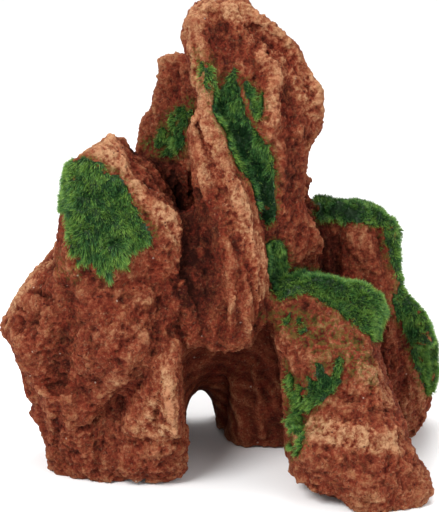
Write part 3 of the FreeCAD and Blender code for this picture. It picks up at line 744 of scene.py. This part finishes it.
def weathered(n, at, tone):
    """The painted colour, with patches of rust and thin ochre veins."""
    colour = n.ramp(tone, [(0.0, (0.016, 0.0030, 0.0014)), (0.20, (0.042, 0.0072, 0.0036)),
                           (0.38, (0.090, 0.0156, 0.0077)), (0.54, (0.146, 0.0305, 0.0142)),
                           (0.72, (0.228, 0.0840, 0.0405)), (1.0, (0.385, 0.2090, 0.1090))])
    rust = n.ramp(n.noise(at, 120, 4, 0.6), [(0.44, (0, 0, 0)), (0.62, (0.55, 0.55, 0.55))])
    redder = n.mix(1.0, colour, (1.02, 0.68, 0.66), "MULTIPLY")
    colour = n.mix(rust, colour, redder)
    vein = n.math("ABSOLUTE", n.math("SUBTRACT", n.noise(at, 100, 5, 0.7, 0.8), 0.5))
    vein = n.ramp(vein, [(0.0, (0.6, 0.6, 0.6)), (0.022, (0, 0, 0))])
    return n.mix(n.math("MULTIPLY", vein, tone, clamp=True), colour, (0.20, 0.094, 0.034))


def speckled(n, at, tone, colour):
    """The colour with dark specks, and light ones that are painted glints of light."""
    speck = n.ramp(n.noise(at, 760, 4, 0.75, 0.4), [(0.54, (0, 0, 0)), (0.62, (0.8, 0.8, 0.8))])
    colour = n.mix(speck, colour, n.mix(1.0, colour, (0.42, 0.26, 0.25), "MULTIPLY"))
    # Painted glints: small highlights painted into the colour, brightest where the tone is light
    glint = n.ramp(n.noise(at, 760, 3, 0.7), [(0.58, (0, 0, 0)), (0.68, (1, 1, 1))])
    glint = n.math("MULTIPLY", glint, tone, clamp=True)
    return n.mix(glint, colour, n.mix(0.5, colour, (0.46, 0.24, 0.13)))


def sandy(n, sand, tone, colour):
    """The colour with a few white grains and more garnet ones."""
    pick = n.node("ShaderNodeSeparateColor", {"Color": sand.outputs["Color"]})
    near = n.math("LESS_THAN", sand.outputs["Distance"], 0.27)
    white = n.math("MULTIPLY", near, n.math("GREATER_THAN", pick.outputs["Red"], 0.994))
    garnet = n.math("MULTIPLY", near, n.math("LESS_THAN", pick.outputs["Red"], 0.05))
    colour = n.mix(n.math("MULTIPLY", white, tone, clamp=True), colour, (0.42, 0.34, 0.28))
    return n.mix(n.math("MULTIPLY", garnet, 0.8), colour, (0.035, 0.005, 0.006))


def rock_material():
    """Painted cast resin: reddish brown with pale wear, painted shade in the crevices, painted
    glints, grit and veins.
    """
    n = Nodes("painted_resin_rock")
    at = n.node("ShaderNodeTexCoord").outputs["Object"]
    broad = n.noise(at, 40, 3)
    middle = n.noise(at, 210, 5, 0.65, 0.5)
    fine = n.noise(at, 1100, 4, 0.7)
    stretched = n.node("ShaderNodeVectorMath", {0: at, 1: (1.0, 1.0, 0.12)},
                       operation="MULTIPLY").outputs[0]
    streaks = n.noise(stretched, 330, 4, 0.6)
    sand = n.node("ShaderNodeTexVoronoi", {"Vector": at, "Scale": 620.0})
    tone = rock_tone(n, broad, middle, fine, streaks)
    colour = sandy(n, sand, tone, speckled(n, at, tone, weathered(n, at, tone)))
    dusted = n.math("MULTIPLY", n.attribute("green"),
                    n.math("GREATER_THAN", n.noise(at, 600, 3), 0.5))
    colour = n.mix(n.math("MULTIPLY", dusted, 0.5), colour, (0.045, 0.075, 0.012))
    height = n.add(0.0, (fine, 0.0, 0.7), (sand.outputs["Distance"], 0.0, 0.4),
                   (middle, 0.0, 0.8))
    bump = n.node("ShaderNodeBump", {"Height": height, "Strength": 0.8, "Distance": 0.0013})
    n.shade(Base_Color=colour, Roughness=n.add(0.8, (middle, 0.5, 0.3)),
            Specular_IOR_Level=0.06, Normal=bump.outputs[0])
    return n.material


def moss_material():
    """Flock fibres: dark at the root as painted shade deep in the pile, bright yellow green at the
    tip.
    """
    n = Nodes("flock_moss")
    uv = n.node("ShaderNodeUVMap", uv_map="OFBake").outputs["UV"]
    parts = n.node("ShaderNodeSeparateXYZ", {"Vector": uv})
    # The stem darkens toward the root: painted shade deep in the pile
    stem = n.ramp(parts.outputs["Y"], [(0.0, (0.004, 0.010, 0.002)),
                                       (0.35, (0.012, 0.050, 0.008)),
                                       (0.7, (0.044, 0.146, 0.036)),
                                       (1.0, (0.148, 0.340, 0.100))])
    # Tints over 1 are painted light: yellow on fibres near a mat's rim, whitish on the glints; the
    # low end is painted shade
    tint = n.ramp(parts.outputs["X"], [(0.0, (0.08, 0.15, 0.16)), (0.22, (0.42, 0.52, 0.52)),
                                       (0.45, (1.0, 1.0, 1.0)), (0.8, (2.0, 1.35, 0.9)),
                                       (0.93, (2.8, 1.7, 1.1)), (1.0, (3.4, 1.9, 1.8))])
    n.shade(Base_Color=n.mix(1.0, stem, tint, "MULTIPLY"), Roughness=0.45,
            Specular_IOR_Level=0.2)
    return n.material


def mortar_material():
    """Matt mortar with sand in it."""
    n = Nodes("resin_mortar")
    at = n.node("ShaderNodeTexCoord").outputs["Object"]
    tone = n.noise(at, 420, 5, 0.65)
    colour = n.ramp(tone, [(0.3, (0.07, 0.025, 0.016)), (0.7, (0.24, 0.10, 0.06))])
    bump = n.node("ShaderNodeBump", {"Height": tone, "Strength": 0.5, "Distance": 0.0006})
    n.shade(Base_Color=colour, Roughness=0.85, Normal=bump.outputs[0])
    return n.material


ROCK_MATERIAL = rock_material()
MOSS_MATERIAL = moss_material()
MORTAR_MATERIAL = mortar_material()

skins = [rock_piece(number, name) for number, name in enumerate(ROCKS)]


# ---------------------------------------------------------------- mortar

PAD_VOXEL = 0.5                        # grid on which the pads are carved
PAD_COVER = 0.8                        # how far under the painted surface they stay
PAD_LEAST = 0.5                        # how deep the thickest place of a pad is at least


def mortar_piece(name):
    """The mortar of a joint, kept just under the painted surface."""
    points, triangles = cad_mesh(name)
    level = openvdb.FloatGrid.createLevelSetFromPolygons(
        points, triangles=triangles,
        transform=openvdb.createLinearTransform(voxelSize=PAD_VOXEL), halfWidth=4)
    first = np.floor(points.min(0) / PAD_VOXEL).astype(int) - 3
    shape = np.ceil(points.max(0) / PAD_VOXEL).astype(int) + 4 - first
    field = np.zeros(shape, np.float32)
    level.copyToArray(field, ijk=tuple(int(v) for v in first))
    cells = (np.stack(np.unravel_index(np.arange(field.size), shape), 1) + first) * PAD_VOXEL
    under = sample(skin, cells).reshape(shape) + PAD_COVER
    field = np.maximum(field, under.astype(np.float32))
    field -= max(0, field.min() + PAD_LEAST)
    points, triangles, quads = polygons(field, first, PAD_VOXEL, adaptivity=0.6)
    points += 0.12 * wander(points, 1.5, 81)
    points[:, 2] = np.maximum(points[:, 2], 0)
    piece = mesh_object("bond_" + name.removeprefix("mortar_"), points,
                        [f for f in (triangles[:, ::-1], quads[:, ::-1]) if len(f)])
    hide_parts(name)
    piece.data.materials.append(MORTAR_MATERIAL)


for name in PADS:
    mortar_piece(name)


# ---------------------------------------------------------------- moss

DENSITY = 10.0  # fibres on a square mm
FIBRE = 4.2                            # length of a long fibre
FIBRE_WIDTH = 0.24
DROOP = 0.12                           # how far a tip sags, in fibre lengths
ROOT_DEPTH = 0.3                       # how far a fibre starts under the rock's surface
GLUE = 0.35                            # thickness of the glue layer
LOWEST = 0.2                           # nothing of the flock comes nearer the floor
GLINTS = 0.02                          # share of the fibres painted with a glint, a painted highlight
# Where the five points of a fibre are along it, from 0 at the root to 1 at the tip: the
# material reads this and the fibre's tint from the UV layer, and so it does for the glue.
ALONG = [0.03, 0.03, 0.55, 0.55, 0.97]
GLUE_UV = [0.35, 0.18]
WORN = {"moss_boulder_fleck": 1.0,     # how much of a mat's flock has come off
        "moss_pinnacle": 0.5, "moss_spire_streak": 0.2, "moss_spire_tuft": 0.35,
        "moss_boulder_band": 0.2, "moss_toe_band": 0.4, "moss_rear_edge": 0.35,
        "moss_pinnacle_back": 0.5, "moss_rear_edge_back": 0.3}
COMB = {"moss_left_crown": 0.35, "moss_boulder_cap": 0.1}   # how far a mat's flock is combed down
MAT_SPREAD = 0.4                       # how far past the CAD mat's edge the flock takes hold

# Deep shade in the flock: strength, width in mm, then the line in layout mm
SHADE = [
    (1.1, 5, [(1, -17, 160), (5, -18, 153), (10, -19, 145), (17, -18, 130), (20, -15, 116)]),
    (0.15, 9, [(-55, -22, 126), (-50, -26, 114), (-42, -30, 104)]),
    (0.7, 6, [(34, -37, 50), (42, -38, 52)]),
    (0.9, 3, [(36, 18, 107), (50, 16, 108), (66, 15, 106)]),
    (0.55, 6, [(72, 10, 92), (74, 9, 70), (84, 8, 52), (90, 8, 34)]),
    (0.6, 5, [(-20, 13, 146), (-17, 13, 138)]),
]


def mat_triangles(name):
    """Triangles of the carved rocks under a moss mat: corners, outward normals, margins."""
    where, field = mat_field[name]
    first = corner_of(where)
    low, high = first * CELL, (first + np.array(field.shape) - 1) * CELL
    worn = WORN.get(name, 0.0)
    corners, normals, margins = [], [], []
    for points, outward, faces in skins:
        inside = ((points > low) & (points < high)).all(1)
        margin = np.full(len(points), BAND)
        for lift in (-1, 0, 1, 2, 3, 4):
            above = points[inside] + lift * outward[inside]
            margin[inside] = np.minimum(margin[inside], sample(field, above, first))
        margin[inside] += 0.8 * layered(points[inside], 3.5, 3, 91) - MAT_SPREAD
        margin[inside] += worn * (1.8 * noise(points[inside], 3.2, 92) + 1.0)
        open_side = sample(skin, points) > -1.6
        for face in faces:
            tri = face if face.shape[1] == 3 else np.concatenate(
                [face[:, [0, 1, 2]], face[:, [0, 2, 3]]])
            tri = tri[(margin[tri] < 0).all(1) & open_side[tri].all(1)]
            corners.append(points[tri])
            normals.append(outward[tri])
            margins.append(margin[tri])
    return np.concatenate(corners), np.concatenate(normals), np.concatenate(margins)


def scatter(name, rng):
    """Roots of a mat's fibres, the outward directions there, and how near the rim they are."""
    corners, normals, margins = mat_triangles(name)
    area = np.linalg.norm(np.cross(corners[:, 1] - corners[:, 0],
                                   corners[:, 2] - corners[:, 0]), axis=1) / 2
    count = int(area.sum() * DENSITY)
    pick = rng.choice(len(area), count, p=area / area.sum())
    a, b = rng.random((2, count, 1))
    flip = a + b > 1
    a, b = np.where(flip, 1 - a, a), np.where(flip, 1 - b, b)
    tri, nor = corners[pick], normals[pick]
    root = tri[:, 0] + a * (tri[:, 1] - tri[:, 0]) + b * (tri[:, 2] - tri[:, 0])
    up = nor[:, 0] + a * (nor[:, 1] - nor[:, 0]) + b * (nor[:, 2] - nor[:, 0])
    rim = smooth(margins[pick].mean(1), -1.6, -0.2)
    glue = corners.reshape(-1, 3) + GLUE * normals.reshape(-1, 3)
    return root, up, rim, glue


def fibres(root, up, rim, shade, comb, rng):
    """Five points of each fibre: two at the root, two at its middle, and the tip."""
    count = len(root)
    clump = np.stack([noise(root, 5, s) + 0.8 * noise(root, 1.7, s + 10)
                      for s in (95, 96, 97)], 1)
    loose = 0.5 * clump + 0.3 * rng.normal(size=(count, 3))
    downhill = up * up[:, 2:] - np.array([0, 0, 1])
    lean = (1 - 0.72 * comb) * (up + loose) + 1.4 * comb * downhill - np.array([0, 0, 0.2])
    lean /= np.linalg.norm(lean, axis=1)[:, None]
    length = FIBRE * (0.5 + 0.5 * rng.random(count)) * (0.85 + 0.45 * noise(root, 5, 98))
    length *= (1 - 0.15 * rim - 0.4 * shade) * (1 + 0.4 * comb)
    across = np.cross(lean, rng.normal(size=(count, 3)))
    across /= np.linalg.norm(across, axis=1)[:, None]
    sag = -DROOP * length[:, None] * np.array([0, 0, 1])
    middle = root + lean * (0.55 * length)[:, None] + 0.25 * sag
    tip = root + lean * length[:, None] + sag
    foot = root - up * ROOT_DEPTH
    half = FIBRE_WIDTH / 2 * across
    points = np.stack([foot - half, foot + half, middle - 0.8 * half, middle + 0.8 * half, tip], 1)
    points = points.reshape(-1, 3)
    points[:, 2] = np.maximum(points[:, 2], LOWEST)
    return points


def fibre_tints(root, up, rim, shade, comb, rng):
    """A shade of green for each fibre, from 0 in painted shade in the depths to 1 on a painted
    glint; fibres near a mat's rim are painted lighter.
    """
    count = len(root)
    foot = root - up * ROOT_DEPTH
    depth = smooth(sample(hollow_broad, root), 0.5, 0.72)
    strands = noise(foot * np.array([1, 1, 0.4 - 0.25 * comb]), 1.2 - 0.4 * comb, 94)
    strands += 0.7 * noise(foot, 5, 99)
    # rim paints light on the fibres near a mat's rim, as if lit from behind; depth and shade paint
    # shade in the hollows and along the shade lines
    tint = rng.normal(0.44, 0.15 + 0.1 * comb, count) + 0.42 * rim - 0.4 * depth
    tint += (0.5 + 0.5 * comb) * strands - 0.7 * shade
    # Painted glints: a few fibres get the brightest, whitish tint as a painted highlight
    glint = rng.random(count) < GLINTS
    return np.where(glint, 0.98, np.clip(tint, 0.02, 0.92))


def moss_piece(name, rng):
    """A mat of flock: a thin dark glue layer and upright fibres."""
    comb = COMB.get(name, 0.0)
    root, up, rim, glue = scatter(name, rng)
    shade = painted(root, SHADE, 64)
    points = fibres(root, up, rim, shade, comb, rng)
    tint = fibre_tints(root, up, rim, shade, comb, rng)
    start = 5 * np.arange(len(root))[:, None]
    stems = start + np.array([[0, 1, 3, 2]])
    tips = start + np.array([[2, 3, 4]])
    glue_faces = np.arange(len(glue)).reshape(-1, 3) + len(points)
    piece = mesh_object("flock_" + name.removeprefix("moss_"), np.concatenate([points, glue]),
                        [np.concatenate([tips, glue_faces]), stems])
    along = np.tile(ALONG, len(root))
    uv = np.concatenate([np.stack([np.repeat(tint, len(ALONG)), along], 1),
                         np.tile(GLUE_UV, (len(glue), 1))])
    corner = np.zeros(len(piece.data.loops), np.int32)
    piece.data.loops.foreach_get("vertex_index", corner)
    layer = piece.data.uv_layers.new(name="OFBake")
    layer.data.foreach_set("uv", uv[corner].astype(np.float32).ravel())
    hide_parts(name)
    piece.data.materials.append(MOSS_MATERIAL)


for number, name in enumerate(MATS):
    moss_piece(name, np.random.default_rng(100 + number))


# ---------------------------------------------------------------- stage, light and camera

# Lengths from here on are metres
FLOOR_SIZE = 12.0
TARGET = Vector(LAYOUT * MM) + Vector((0, 0, 0.092))    # what the camera and lamps look at
DISTANCE, TILT = 0.9, math.radians(17)                  # the camera's, from the target
IMAGE_HEIGHT = 512                                      # the image's long side, in pixels
PIXEL = 0.00042                                         # what one of them spans at the target


def floor_material():
    """Matt pale grey, a little uneven."""
    n = Nodes("pale_floor")
    at = n.node("ShaderNodeTexCoord").outputs["Object"]
    tone = n.ramp(n.noise(at, 8, 2), [(0.3, (0.86, 0.86, 0.86)), (0.7, (0.89, 0.89, 0.89))])
    n.shade(Base_Color=tone, Roughness=0.9)
    return n.material


def plain_floor():
    """A wide pale floor under the ornament."""
    mesh = bpy.data.meshes.new("floor")
    far = FLOOR_SIZE / 2
    mesh.from_pydata([(-far, -far, 0), (far, -far, 0), (far, far, 0), (-far, far, 0)],
                     [], [(0, 1, 2, 3)])
    floor = bpy.data.objects.new("floor", mesh)
    bpy.context.scene.collection.objects.link(floor)
    floor.data.materials.append(floor_material())


def area_light(name, place, size, watts):
    """A soft round lamp, size metres across, that looks at the ornament."""
    data = bpy.data.lights.new(name, "AREA")
    data.shape, data.size, data.energy = "DISK", size, watts
    lamp = bpy.data.objects.new(name, data)
    lamp.location = place
    lamp.rotation_euler = (TARGET - Vector(place)).to_track_quat("-Z", "Y").to_euler()
    bpy.context.scene.collection.objects.link(lamp)


def white_world():
    """Even white light from all round."""
    world = bpy.data.worlds.new("studio")
    world.use_nodes = True
    sky = world.node_tree.nodes["Background"]
    sky.inputs["Color"].default_value = (1, 1, 1, 1)
    sky.inputs["Strength"].default_value = 0.75
    bpy.context.scene.world = world


def front_camera():
    """The camera in front of the ornament, which looks a little down on it."""
    camera = bpy.data.cameras.new("camera")
    camera.sensor_width = 36
    camera.lens = camera.sensor_width * DISTANCE / (IMAGE_HEIGHT * PIXEL)
    camera.clip_start = 0.05
    eye = bpy.data.objects.new("camera", camera)
    eye.location = TARGET + DISTANCE * Vector((0, -math.cos(TILT), math.sin(TILT)))
    eye.rotation_euler = (TARGET - eye.location).to_track_quat("-Z", "Y").to_euler()
    bpy.context.scene.collection.objects.link(eye)
    bpy.context.scene.camera = eye


plain_floor()
area_light("key", (-0.55, -0.75, 0.95), 0.55, 17)
area_light("fill", (0.9, -0.7, 0.45), 0.9, 6)
area_light("top", (0.1, 0.35, 1.1), 0.7, 9)
white_world()
front_camera()
bpy.context.scene.view_settings.view_transform = "Standard"
